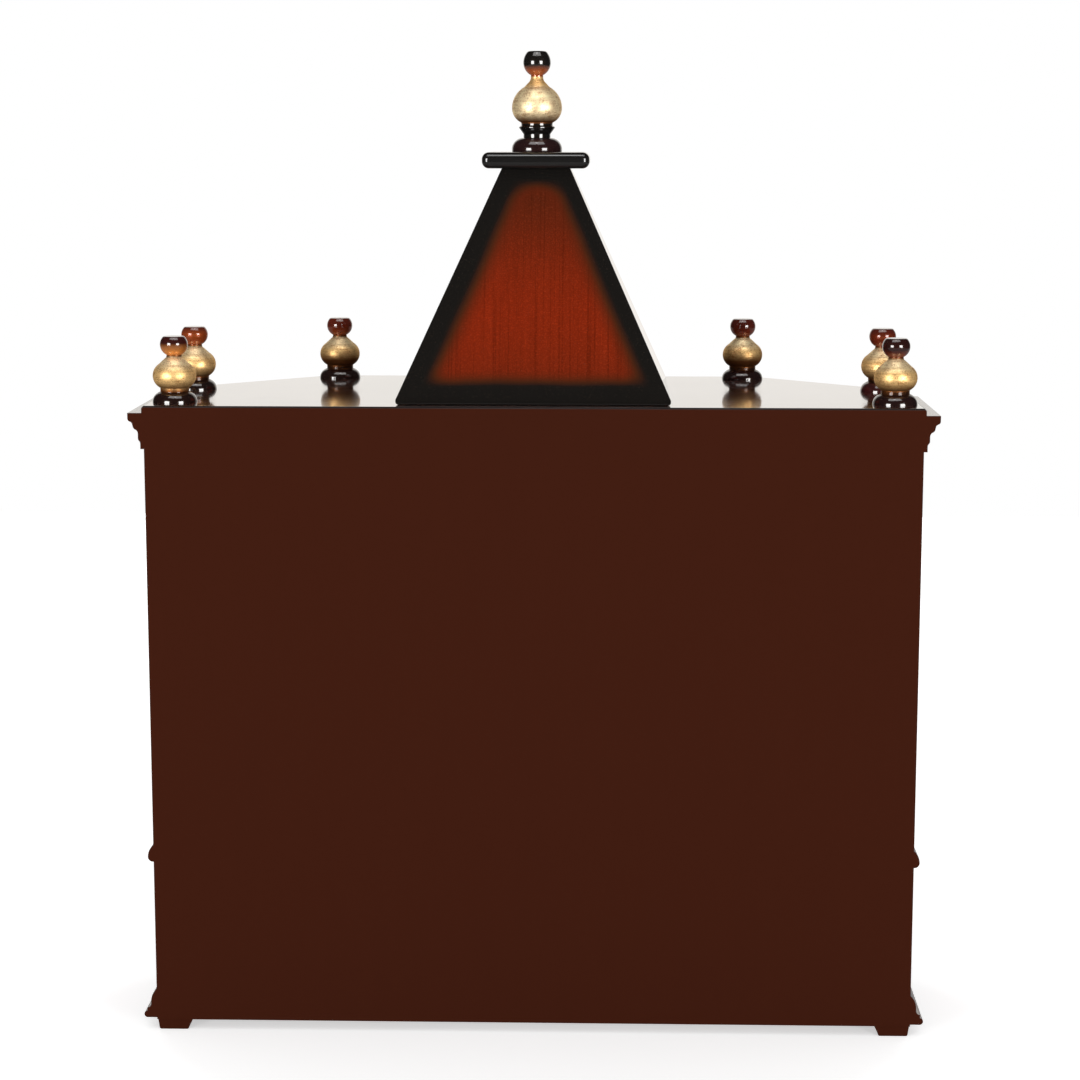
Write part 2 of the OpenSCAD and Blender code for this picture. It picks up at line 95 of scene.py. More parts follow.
class Graph:
    """Adds nodes to one shader node tree and joins them."""

    # A colour Mix node's sockets go by number, because several have the same name.
    MIX_FACTOR, MIX_FIRST, MIX_SECOND, MIX_RESULT = 0, 6, 7, 2

    def __init__(self, tree: NodeTree) -> None:
        """Keep the tree that the nodes go into."""
        self.tree = tree

    def feed(self, socket: NodeSocket, value: Feed) -> None:
        """Link a socket to an input, or set the input's own value.

        Args:
            socket: The input.
            value: The socket or the value that it takes.
        """
        if isinstance(value, NodeSocket):
            self.tree.links.new(value, socket)
        else:
            socket.default_value = value

    def add(self, kind: str, feeds: Optional[dict[Any, Feed]] = None, **settings: Any) -> Node:
        """Add one node.

        Args:
            kind: The node's type, without its ShaderNode prefix.
            feeds: What its inputs take, by name or number.
            **settings: The node's own settings.

        Returns:
            The new node.
        """
        node = self.tree.nodes.new("ShaderNode" + kind)
        for name, value in settings.items():
            setattr(node, name, value)
        self.fill(node, feeds or {})
        return node

    def fill(self, node: Node, feeds: dict[Any, Feed]) -> None:
        """Give a node's inputs what they take, by name or number."""
        for name, value in feeds.items():
            self.feed(node.inputs[name], value)

    def maths(self, operation: str, *values: Feed) -> NodeSocket:
        """Add a Math node and return its value."""
        node = self.add("Math", dict(enumerate(values)), operation=operation)
        return node.outputs[0]

    def plus(self, first: Feed, second: Feed) -> NodeSocket:
        """Add two values."""
        return self.maths("ADD", first, second)

    def minus(self, first: Feed, second: Feed) -> NodeSocket:
        """Take the second value from the first."""
        return self.maths("SUBTRACT", first, second)

    def times(self, first: Feed, second: Feed) -> NodeSocket:
        """Multiply two values."""
        return self.maths("MULTIPLY", first, second)

    def vector(self, operation: str, first: Feed, second: Feed) -> Node:
        """Add a Vector Math node and return it."""
        return self.add("VectorMath", {0: first, 1: second}, operation=operation)

    def ease(
        self, value: Feed, low: Feed, high: Feed, start: Feed = 0.0, end: Feed = 1.0
    ) -> NodeSocket:
        """Smooth step from start to end as value goes from low to high."""
        feeds = {"Value": value, "From Min": low, "From Max": high, "To Min": start, "To Max": end}
        return self.add("MapRange", feeds, interpolation_type="SMOOTHSTEP").outputs["Result"]

    def noise(
        self, where: Feed, scale: Feed, detail: float = 2.0, rough: float = 0.5
    ) -> NodeSocket:
        """Add a Noise Texture and return its value."""
        feeds = {"Vector": where, "Scale": scale, "Detail": detail, "Roughness": rough}
        return self.add("TexNoise", feeds).outputs[0]

    def mix(self, share: Feed, first: Feed, second: Feed, mode: str = "MIX") -> NodeSocket:
        """Mix two colours.

        Args:
            share: How much of the second colour, or of the operation, is used.
            first: The first colour.
            second: The second colour.
            mode: The mixing operation.

        Returns:
            The mixed colour's socket.
        """
        feeds = {self.MIX_FACTOR: share, self.MIX_FIRST: first, self.MIX_SECOND: second}
        node = self.add("Mix", feeds, data_type="RGBA", blend_type=mode)
        return node.outputs[self.MIX_RESULT]

    def tinted(self, colour: Feed, tone: Feed) -> NodeSocket:
        """Multiply a colour by a tone."""
        return self.mix(1.0, colour, tone, "MULTIPLY")

    def ramp(self, value: Feed, stops: Sequence[tuple[float, Colour]]) -> Node:
        """Add a colour ramp.

        Args:
            value: The place on the ramp, 0 to 1.
            stops: Each stop's place and colour, in order.

        Returns:
            The ramp's node, whose Alpha output is the fourth channel.
        """
        node = self.add("ValToRGB", {"Fac": value})
        elements = node.color_ramp.elements
        elements.remove(elements[1])
        elements[0].position, elements[0].color = stops[0]
        for place, colour in stops[1:]:
            elements.new(min(1.0, max(0.0, place))).color = colour
        return node

    def place(self) -> NodeSocket:
        """The surface point in the frame, in metres."""
        return self.add("TexCoord").outputs["Object"]

    def effect(self, tree: NodeTree, **feeds: Feed) -> Node:
        """Place a shared group.

        Args:
            tree: The group's tree.
            **feeds: What its inputs take, by name, with underscores for spaces.

        Returns:
            The group's node.
        """
        named = {name.replace("_", " "): value for name, value in feeds.items()}
        return self.add("Group", named, node_tree=tree)


class Group(Graph):
    """A shader node group with named inputs and outputs."""

    def __init__(self, name: str, inputs: dict[str, Feed], outputs: Sequence[str]) -> None:
        """Make the group and its sockets.

        Args:
            name: The group's name.
            inputs: Each input's name and its value when nothing feeds it.
            outputs: The names of the outputs, which are all single values.
        """
        super().__init__(bpy.data.node_groups.new(name, "ShaderNodeTree"))
        sockets = self.tree.interface
        for label, value in inputs.items():
            kind = "NodeSocketFloat" if isinstance(value, float) else "NodeSocketVector"
            socket = sockets.new_socket(name=label, in_out="INPUT", socket_type=kind)
            socket.default_value = value
        for label in outputs:
            sockets.new_socket(name=label, in_out="OUTPUT", socket_type="NodeSocketFloat")
        self.given = self.tree.nodes.new("NodeGroupInput").outputs
        self.made = self.tree.nodes.new("NodeGroupOutput").inputs


class Effects:
    """The shader groups that the finishes share, each built once."""

    def __init__(self) -> None:
        """Build every group."""
        self.grain = self.build_grain()
        self.burst = self.build_burst()
        self.film = self.build_film()
        self.gilding = self.build_gilding()
        self.flecks = self.build_flecks()

    @staticmethod
    def build_grain() -> NodeTree:
        """Wood grain that is stretched along a board: streaks, fibres and dark pores.

        Returns:
            The group's tree.
        """
        streak_weight, fibre_weight, pore_depth, darkest = 1.1, 0.9, 0.3, 0.1
        inputs = {"Along": Run.UPRIGHT.value, "Contrast": 0.3}
        group = Group("wood_grain", inputs, ["Tone", "Height"])
        along = group.vector("MULTIPLY", group.place(), group.given["Along"]).outputs[0]
        streaks = group.noise(along, scale=0.35, detail=3.0, rough=0.6)
        fibres = group.noise(along, scale=2.2, detail=2.0, rough=0.6)
        pores = group.ease(group.noise(along, scale=3.6, detail=0.0), low=0.66, high=0.78)
        streaks = group.times(streaks, streak_weight)
        fibres = group.times(fibres, fibre_weight)
        wave = group.minus(group.plus(streaks, fibres), 1.0)
        wave = group.minus(wave, group.times(pores, pore_depth))
        tone = group.maths("MULTIPLY_ADD", wave, group.given["Contrast"], 1.0)
        group.feed(group.made["Tone"], group.maths("MAXIMUM", tone, darkest))
        group.feed(group.made["Height"], wave)
        return group.tree

    @staticmethod
    def build_burst() -> NodeTree:
        """A panel's sprayed border and the glow in its middle.

        Returns:
            The group's tree. Its Mask is 0 on the panel's four edges and 1 in its middle, and
            its Glow is 1 at one height and fades above and below it.
        """
        inputs = {
            "Centre": (0.0, 0.0, 0.0), "Across": (1.0, 0.0, 0.0), "Low": 0.0, "High": 1.0,
            "Foot Half": 0.1, "Head Half": 0.1, "Side Start": 0.01, "Side End": 0.03,
            "Foot Start": 0.01, "Foot End": 0.03, "Head Start": 0.01, "Head End": 0.03,
            "Wobble": 0.003, "Glow Height": 0.4, "Glow Spread": 1.0,
        }
        group = Group("sprayed_border", inputs, ["Mask", "Glow"])
        given = group.given
        place = group.place()
        offset = group.vector("SUBTRACT", place, given["Centre"]).outputs[0]
        side = group.vector("DOT_PRODUCT", offset, given["Across"]).outputs["Value"]
        side = group.maths("ABSOLUTE", side)
        height = group.add("SeparateXYZ", {0: place}).outputs["Z"]
        risen = group.minus(height, given["Low"])
        share = group.maths("DIVIDE", risen, group.minus(given["High"], given["Low"]))
        taper = group.minus(given["Head Half"], given["Foot Half"])
        half = group.maths("MULTIPLY_ADD", taper, share, given["Foot Half"])
        drift = group.times(group.minus(group.noise(place, scale=22.0), 0.5), given["Wobble"])
        sides = group.plus(group.minus(half, side), drift)
        foot = group.plus(risen, drift)
        head = group.plus(group.minus(given["High"], height), drift)
        mask = group.ease(sides, given["Side Start"], given["Side End"])
        mask = group.times(mask, group.ease(foot, given["Foot Start"], given["Foot End"]))
        mask = group.times(mask, group.ease(head, given["Head Start"], given["Head End"]))
        group.feed(group.made["Mask"], mask)
        # The glow is a bell curve of the distance from its height.
        away = group.minus(share, given["Glow Height"])
        away = group.maths("DIVIDE", away, given["Glow Spread"])
        fade = group.times(group.times(away, away), -0.5)
        group.feed(group.made["Glow"], group.maths("EXPONENT", fade))
        return group.tree

    @staticmethod
    def build_film() -> NodeTree:
        """A sprayed lacquer film: a faint ripple and a roughness that drifts over the surface.

        Returns:
            The group's tree.
        """
        smoothest = 0.02
        inputs = {"Roughness": 0.2, "Spread": 0.1, "Ripple": 260.0}
        group = Group("lacquer_film", inputs, ["Roughness", "Height"])
        place = group.place()
        drift = group.minus(group.noise(place, scale=12.0, detail=3.0, rough=0.6), 0.5)
        rough = group.maths("MULTIPLY_ADD", drift, group.given["Spread"], group.given["Roughness"])
        group.feed(group.made["Roughness"], group.maths("MAXIMUM", rough, smoothest))
        group.feed(group.made["Height"], group.noise(place, group.given["Ripple"], detail=1.0))
        return group.tree

    @staticmethod
    def build_gilding() -> NodeTree:
        """Brushed gold paint: rings left by the brush, cloudy patches and fine grit.

        Returns:
            The group's tree.
        """
        round_piece = (70.0, 70.0, 1100.0)
        ring_weight, cloud_weight, grit_weight, middle = 0.6, 0.9, 1.0, 1.25
        polish, smoothest = -0.12, 0.15
        inputs = {"Roughness": 0.4, "Contrast": 0.3}
        group = Group("brushed_gilding", inputs, ["Tone", "Roughness", "Height"])
        place = group.place()
        rings = group.vector("MULTIPLY", place, round_piece).outputs[0]
        rings = group.noise(rings, scale=1.0, detail=3.0, rough=0.6)
        clouds = group.noise(place, scale=170.0, detail=4.0, rough=0.65)
        grit = group.noise(place, scale=1500.0, detail=1.0)
        rings = group.times(rings, ring_weight)
        wave = group.plus(rings, group.times(clouds, cloud_weight))
        wave = group.maths("MULTIPLY_ADD", grit, grit_weight, wave)
        wave = group.minus(wave, middle)
        tone = group.maths("MULTIPLY_ADD", wave, group.given["Contrast"], 1.0)
        group.feed(group.made["Tone"], tone)
        rough = group.maths("MULTIPLY_ADD", wave, polish, group.given["Roughness"])
        group.feed(group.made["Roughness"], group.maths("MAXIMUM", rough, smoothest))
        group.feed(group.made["Height"], wave)
        return group.tree

    @staticmethod
    def build_flecks() -> NodeTree:
        """Sparse pale flecks of spray dust in a finish.

        Returns:
            The group's tree.
        """
        softness = 0.08
        group = Group("spray_flecks", {"Scale": 1300.0, "Sparse": 0.72}, ["Mask"])
        dots = group.noise(group.place(), group.given["Scale"], detail=0.0)
        edge = group.plus(group.given["Sparse"], softness)
        group.feed(group.made["Mask"], group.ease(dots, group.given["Sparse"], edge))
        return group.tree


# ---- Finishes ----


def new_material(name: str) -> Material:
    """Make a material with an empty node tree.

    Args:
        name: The material's name.

    Returns:
        The material.
    """
    material = bpy.data.materials.new(name)
    material.use_nodes = True
    material.node_tree.nodes.clear()
    return material


class Finish:
    """A surface finish, which makes its material once."""

    name: str
    made: dict[str, Material] = {}

    def material(self, effects: Effects) -> Material:
        """The finish's material, made at the first call.

        Args:
            effects: The shared shader groups.

        Returns:
            The material.
        """
        if self.name not in self.made:
            made = new_material(self.name)
            graph = Graph(made.node_tree)
            shader = graph.add("BsdfPrincipled")
            self.draw(graph, shader, effects)
            graph.add("OutputMaterial", {"Surface": shader.outputs[0]})
            self.made[self.name] = made
        return self.made[self.name]

    def draw(self, graph: Graph, shader: Node, effects: Effects) -> None:
        """Feed the shader. Each finish has its own."""
        raise NotImplementedError


def emboss(graph: Graph, shader: Node, height: Feed, depth: float) -> None:
    """Feed a height through a Bump node to the shader's Normal.

    Args:
        graph: The material's tree.
        shader: The surface shader.
        height: The height pattern, of about one unit.
        depth: What one unit of it stands for, in millimetres.
    """
    bump = graph.add("Bump", {"Strength": 1.0, "Distance": depth * MM, "Height": height})
    graph.feed(shader.inputs["Normal"], bump.outputs[0])


@dataclass(frozen=True)
class FlatPaint(Finish):
    """Flat brushed paint without gloss, for the wall side and the feet."""

    name: str
    colour: Colour
    brush: Triple = (220.0, 220.0, 26.0)
    variation: float = 0.035
    roughness: float = 0.93
    spread: float = 0.08
    relief: float = 0.02

    def draw(self, graph: Graph, shader: Node, effects: Effects) -> None:
        """Matt paint with a faint brush mark.

        Args:
            graph: The material's tree.
            shader: The surface shader.
            effects: The shared shader groups.
        """
        brush = graph.effect(effects.grain, Along=self.brush, Contrast=self.variation).outputs
        film = graph.effect(effects.film, Roughness=self.roughness, Spread=self.spread).outputs
        graph.fill(shader, {
            "Base Color": graph.tinted(self.colour, brush["Tone"]),
            "Roughness": film["Roughness"], "Specular IOR Level": 0.0,
        })
        emboss(graph, shader, brush["Height"], self.relief)


@dataclass(frozen=True)
class Lacquer(Finish):
    """Stained and clear-lacquered wood."""

    name: str
    tint: Colour
    run: Run = Run.UPRIGHT
    contrast: float = 0.35
    roughness: float = 0.35
    spread: float = 0.1
    gloss: float = 0.06
    specular: float = 0.08
    coat: float = 1.0
    ripple: float = 0.006
    flecks: float = 0.0

    def stain(self, graph: Graph, effects: Effects) -> Feed:
        """The colour of the wood under the lacquer.

        Args:
            graph: The material's tree.
            effects: The shared shader groups.

        Returns:
            The colour's socket.
        """
        grain = graph.effect(effects.grain, Along=self.run.value, Contrast=self.contrast)
        return graph.tinted(self.tint, grain.outputs["Tone"])

    def draw(self, graph: Graph, shader: Node, effects: Effects) -> None:
        """Stain, flecks and a clear coat with a faint ripple.

        Args:
            graph: The material's tree.
            shader: The surface shader.
            effects: The shared shader groups.
        """
        colour = self.stain(graph, effects)
        if self.flecks:
            dots = graph.effect(effects.flecks).outputs["Mask"]
            colour = graph.mix(graph.times(dots, self.flecks), colour, DUST)
        film = graph.effect(effects.film, Roughness=self.roughness, Spread=self.spread).outputs
        graph.fill(shader, {
            "Base Color": colour, "Roughness": film["Roughness"],
            "Specular IOR Level": self.specular,
            "Coat Weight": self.coat, "Coat Roughness": self.gloss,
        })
        emboss(graph, shader, film["Height"], self.ripple)


@dataclass(frozen=True)
class Panel:
    """A flat panel's outline in metres: its middle, the way across it, and its edges."""

    centre: Triple
    across: Triple
    low: float
    high: float
    foot_half: float
    head_half: float

    @classmethod
    def upright(cls, low: Vector, high: Vector, turn: Pair) -> "Panel":
        """The outline of a panel with upright edges.

        Args:
            low: The lower corner of its piece's box.
            high: The upper corner of that box.
            turn: The signs of the panel's way across along X and Y, 0 where it doesn't run.

        Returns:
            The outline.
        """
        way = Vector(((high.x - low.x) * turn[0], (high.y - low.y) * turn[1], 0.0))
        half = way.length / 2
        return cls(tuple((low + high) / 2), tuple(way.normalized()), low.z, high.z, half, half)


@dataclass(frozen=True)
class Notch:
    """A gap in an upright panel's front edge, above a belt moulding, in metres."""

    rear: float
    top: float
    belt_low: float
    belt_high: float

    def mask(self, graph: Graph, border: Pair) -> NodeSocket:
        """How far a point is clear of the sprayed border round the notch and the belt.

        Args:
            graph: The material's tree.
            border: Where the border starts to fade and where it ends, in millimetres.

        Returns:
            The mask's socket, 0 to 1.
        """
        start, end = border[0] * MM, border[1] * MM
        place = graph.add("SeparateXYZ", {0: graph.place()}).outputs
        behind = graph.minus(place["Y"], self.rear)
        above = graph.minus(place["Z"], self.top)
        below = graph.minus(self.belt_low, place["Z"])
        clear = graph.maths("MAXIMUM", graph.maths("MAXIMUM", behind, above), below)
        over = graph.minus(place["Z"], self.belt_high)
        clear_of_belt = graph.maths("MAXIMUM", over, below)
        return graph.ease(graph.maths("MINIMUM", clear, clear_of_belt), start, end)


@dataclass(frozen=True)
class Burst(Lacquer):
    """Lacquer sprayed black round a panel's edges, with the stain glowing in its middle.

    Side, foot and head are where the black starts to fade and where it ends, in millimetres
    from those edges. Glow is the glow's height and spread, as shares of the panel's height.
    """

    panel: Panel = Panel((0.0, 0.0, 0.0), (1.0, 0.0, 0.0), 0.0, 1.0, 1.0, 1.0)
    notch: Optional[Notch] = None
    side: Pair = (9.5, 31.5)
    foot: Pair = (13.0, 27.0)
    head: Pair = (7.0, 24.0)
    glow: Pair = (0.37, 0.29)
    lines: Triple = (620.0, 620.0, 5.0)
    line_edge: Pair = (0.34, 0.46)
    line_tone: float = 0.78
    speckle: float = 0.36
    speckle_scale: float = 1080.0
    speckle_edge: Pair = (0.46, 0.7)
    speckle_low: float = 0.92
    specular: float = 0.0
    rim: Colour = paint(26, 24, 22)
    brown: Colour = paint(72, 36, 19)
    brown_at: float = 0.24
    amber: Colour = paint(98, 36, 16)
    amber_at: float = 0.48
    dusk: Colour = paint(76, 33, 16)

    def along_face(self, scale: Triple) -> Triple:
        """A pattern's scale without the way through the panel, so that it runs up a leaning face.

        Args:
            scale: The pattern's scale along X, Y and Z.

        Returns:
            The scale with 0 along the way through the panel.
        """
        kept = (*(1.0 if abs(way) > TINY else 0.0 for way in self.panel.across[:2]), 1.0)
        return tuple(size * keep for size, keep in zip(scale, kept))

    def spray(self, graph: Graph, effects: Effects) -> Node:
        """Place the sprayed border's group with the panel's sizes.

        Args:
            graph: The material's tree.
            effects: The shared shader groups.

        Returns:
            The group's node.
        """
        panel = self.panel
        border = {}
        for edge, (start, end) in {"Side": self.side, "Foot": self.foot, "Head": self.head}.items():
            border[edge + "_Start"], border[edge + "_End"] = start * MM, end * MM
        return graph.effect(
            effects.burst, Centre=panel.centre, Across=panel.across, Low=panel.low, High=panel.high,
            Foot_Half=panel.foot_half, Head_Half=panel.head_half,
            Glow_Height=self.glow[0], Glow_Spread=self.glow[1], **border,
        )

    def texture(self, graph: Graph, effects: Effects) -> NodeSocket:
        """The tone of the stained wood: its grain, fine dark lines and bright speckles.

        Args:
            graph: The material's tree.
            effects: The shared shader groups.

        Returns:
            The tone's socket, about 1.
        """
        along = self.along_face(self.run.value)
        grain = graph.effect(effects.grain, Along=along, Contrast=self.contrast)
        where = graph.vector("MULTIPLY", graph.place(), self.along_face(self.lines)).outputs[0]
        lines = graph.noise(where, scale=1.0, detail=1.0)
        lines = graph.ease(lines, *self.line_edge, self.line_tone, 1.0)
        specks = graph.noise(graph.place(), self.speckle_scale, detail=1.0)
        specks = graph.ease(specks, *self.speckle_edge, self.speckle_low, 1.0 + self.speckle)
        return graph.times(grain.outputs["Tone"], graph.times(lines, specks))

    def stain(self, graph: Graph, effects: Effects) -> Feed:
        """The stain, from the rim's black through brown to the middle's red.

        Args:
            graph: The material's tree.
            effects: The shared shader groups.

        Returns:
            The colour's socket.
        """
        burst = self.spray(graph, effects)
        mask = burst.outputs["Mask"]
        if self.notch:
            mask = graph.times(mask, self.notch.mask(graph, self.side))
        stops = (
            (0.0, self.rim), (self.brown_at, self.brown), (self.amber_at, self.amber),
            (1.0, self.tint),
        )
        colour = graph.ramp(mask, stops).outputs["Color"]
        dim = graph.times(graph.minus(1.0, burst.outputs["Glow"]), mask)
        colour = graph.mix(dim, colour, self.dusk)
        # The wood shows only where the border's black is thin.
        tone = graph.minus(self.texture(graph, effects), 1.0)
        return graph.tinted(colour, graph.maths("MULTIPLY_ADD", tone, mask, 1.0))


@dataclass(frozen=True)
class Band:
    """One band of a turned piece's finish, in millimetres above the piece's foot."""

    start: float
    colour: Colour
    gilt: float = 0.0
    soft: float = 0.7


@dataclass(frozen=True)
class Turned(Finish):
    """A turned piece's finish: bands of lacquer and brushed gold, painted round it."""

    name: str
    foot: float
    height: float
    bands: tuple[Band, ...]
    gold_rough: float = 0.46
    gold_contrast: float = 1.0
    gold_relief: float = 9.0
    worn_from: float = 1.05
    worn_to: float = 0.6
    worn_most: float = 0.75
    metal: float = 0.6
    streaks: Triple = (60.0, 60.0, 260.0)
    streak_contrast: float = 0.3
    roughness: float = 0.3
    spread: float = 0.1
    relief: float = 0.006
    gloss: float = 0.05
    coat_ior: float = 1.6
    specular: float = 0.1
    edge_tint: Colour = (0.66, 0.46, 0.3, 1.0)
    drift_scale: float = 160.0
    drift: float = 0.9

    def stops(self) -> list[tuple[float, Colour]]:
        """The ramp's stops, two at each band's edge, with the gilding as the fourth channel.

        Returns:
            Each stop's place, 0 to 1, and its colour.
        """
        made = []
        before = None
        for band in self.bands:
            shade = (*band.colour[:3], band.gilt)
            if before is None:
                made.append((0.0, shade))
            else:
                made.append(((band.start - band.soft / 2) / self.height, before))
                made.append(((band.start + band.soft / 2) / self.height, shade))
            before = shade
        return made

    def share(self, graph: Graph) -> NodeSocket:
        """How far up the piece a point is, with the unsteadiness of a painter's hand.

        Args:
            graph: The material's tree.

        Returns:
            The share's socket, 0 at the foot and 1 at the top.
        """
        place = graph.place()
        height = graph.add("SeparateXYZ", {0: place}).outputs["Z"]
        drift = graph.minus(graph.noise(place, self.drift_scale), 0.5)
        height = graph.maths("MULTIPLY_ADD", drift, self.drift * MM, height)
        return graph.maths("DIVIDE", graph.minus(height, self.foot), self.height * MM)

    def draw(self, graph: Graph, shader: Node, effects: Effects) -> None:
        """Bands by height, gold paint where they are gilt, lacquer elsewhere.

        Args:
            graph: The material's tree.
            shader: The surface shader.
            effects: The shared shader groups.
        """
        ramp = graph.ramp(self.share(graph), self.stops()).outputs
        colour, gilt = ramp["Color"], ramp["Alpha"]
        brush = {"Roughness": self.gold_rough, "Contrast": self.gold_contrast}
        gilding = graph.effect(effects.gilding, **brush).outputs
        worn = graph.ease(gilding["Tone"], self.worn_from, self.worn_to, end=self.worn_most)
        gold = graph.mix(worn, graph.tinted(colour, gilding["Tone"]), WORN_GOLD)
        streak = graph.effect(effects.grain, Along=self.streaks, Contrast=self.streak_contrast)
        stain = graph.tinted(colour, streak.outputs["Tone"])
        film = graph.effect(effects.film, Roughness=self.roughness, Spread=self.spread).outputs
        step = graph.minus(gilding["Roughness"], film["Roughness"])
        graph.fill(shader, {
            "Base Color": graph.mix(gilt, stain, gold),
            "Metallic": graph.times(gilt, self.metal),
            "Roughness": graph.maths("MULTIPLY_ADD", step, gilt, film["Roughness"]),
            "Coat Weight": graph.minus(1.0, gilt),
            "Coat Roughness": self.gloss, "Coat IOR": self.coat_ior,
            "Specular IOR Level": self.specular, "Specular Tint": self.edge_tint,
        })
        relief = graph.times(gilt, self.gold_relief)
        relief = graph.times(gilding["Height"], relief)
        emboss(graph, shader, graph.plus(relief, film["Height"]), self.relief)


WHITE = (1.0, 1.0, 1.0, 1.0)
DUST = paint(150, 120, 96)
MAHOGANY = paint(92, 30, 17)
EMBER = paint(131, 38, 14)
BLACK = paint(22, 20, 19)
GOLD = paint(236, 194, 130)
# Painted highlight: a paler gold on the upper part of each corner finial's ball and over the middle
# of the peak's ball.
HIGHLIGHT_GOLD = paint(250, 224, 178)
# Painted shade: a dark brown gold on the lower part of each finial's ball and in the crease under
# each corner finial's head.
SHADED_GOLD = paint(96, 56, 28)
WORN_GOLD = paint(150, 88, 38)
NECK_BROWN = paint(44, 24, 16)
BACK_BROWN = paint(64, 29, 18)
DECK_BROWN = paint(84, 57, 50)
LIP_BROWN = paint(26, 12, 9)
MOULDING_BROWN = paint(56, 24, 17)

BACK_PAINT = FlatPaint("back_paint", BACK_BROWN)
DECK_LACQUER = Lacquer("deck_lacquer", DECK_BROWN, Run.ACROSS, roughness=0.14, specular=0.6)
LIP_LACQUER = Lacquer("lip_lacquer", LIP_BROWN, Run.ACROSS, coat=0.14)
BLACK_LACQUER = Lacquer("black_lacquer", BLACK, Run.ACROSS, contrast=0.5, flecks=0.05)
MOULDING_ALONG_X = Lacquer("moulding_lacquer_wide", MOULDING_BROWN, Run.ACROSS)
MOULDING_ALONG_Y = Lacquer("moulding_lacquer_deep", MOULDING_BROWN, Run.DEEP)
CARCASS_UPRIGHT = Lacquer("mahogany_upright", MAHOGANY, Run.UPRIGHT)
CARCASS_WIDE = Lacquer("mahogany_wide", MAHOGANY, Run.ACROSS)


# ---- Sub-assemblies ----


def dress(piece: Object, *materials: Material) -> None:
    """Put materials in a piece's slots, in place of those it has.

    Args:
        piece: The piece.
        *materials: Its materials, in the order of its slots.
    """
    piece.data.materials.clear()
    for material in materials:
        piece.data.materials.append(material)


@dataclass(frozen=True)
class Bench:
    """What a sub-assembly is finished with: the frame's pieces and the shared shader groups."""

    nodes: Nodes
    effects: Effects

    def finish(self, name: str, *finishes: Finish) -> Object:
        """Put finishes on a piece, and report it.

        Args:
            name: The piece's name.
            *finishes: Its finishes, in the order of its slots.

        Returns:
            The piece.
        """
        piece = self.nodes[name]
        dress(piece, *(finish.material(self.effects) for finish in finishes))
        LOG.info("finished %s", name)
        return piece


def paint_wall_side(piece: Object, wall_y: float) -> None:
    """Give the faces that lie on the wall's plane the wall side's finish, and the rest the first.

    Args:
        piece: The piece, with both finishes in its slots.
        wall_y: The wall's plane.
    """
    vertices = piece.data.vertices
    for face in piece.data.polygons:
        on_wall = all(vertices[v].co.y > wall_y - TINY for v in face.vertices)
        face.material_index = Slot.WALL.value if on_wall else Slot.SHOW.value


@dataclass
class Carcass:
    """The boards that make the cabinet: back, sides, bottom and shrine floor."""

    border: Pair = (6.0, 30.0)
    glow: Pair = (0.5, 1.2)

    def dress(self, bench: Bench) -> None:
        """Lacquer the boards, and paint the back's wall side.

        Args:
            bench: The pieces and the shader groups.
        """
        wall_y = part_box("back_panel")[1].y
        paint_wall_side(bench.finish("back_panel", CARCASS_UPRIGHT, BACK_PAINT), wall_y)
        for name in ("bottom_board", "platform_board"):
            bench.finish(name, CARCASS_WIDE)
        for side in Side:
            self.dress_side(bench, bench.nodes[side.name.lower() + "_side_panel"])

    def dress_side(self, bench: Bench, panel: Object) -> None:
        """Spray a side panel's border, which follows its notch and the waist moulding.

        Args:
            bench: The pieces and the shader groups.
            panel: The side panel.
        """
        low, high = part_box(panel.name)
        inner = [v.co for v in panel.data.vertices if low.y + TINY < v.co.y < high.y - TINY]
        belt_low, belt_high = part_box("waist_moulding_sides")
        rear, top = max(co.y for co in inner), max(co.z for co in inner)
        bench.finish(panel.name, Burst(
            panel.name + "_lacquer", EMBER, Run.UPRIGHT,
            panel=Panel.upright(low, high, (0.0, 1.0)),
            notch=Notch(rear, top, belt_low.z, belt_high.z),
            side=self.border, foot=self.border, head=self.border, glow=self.glow,
        ))


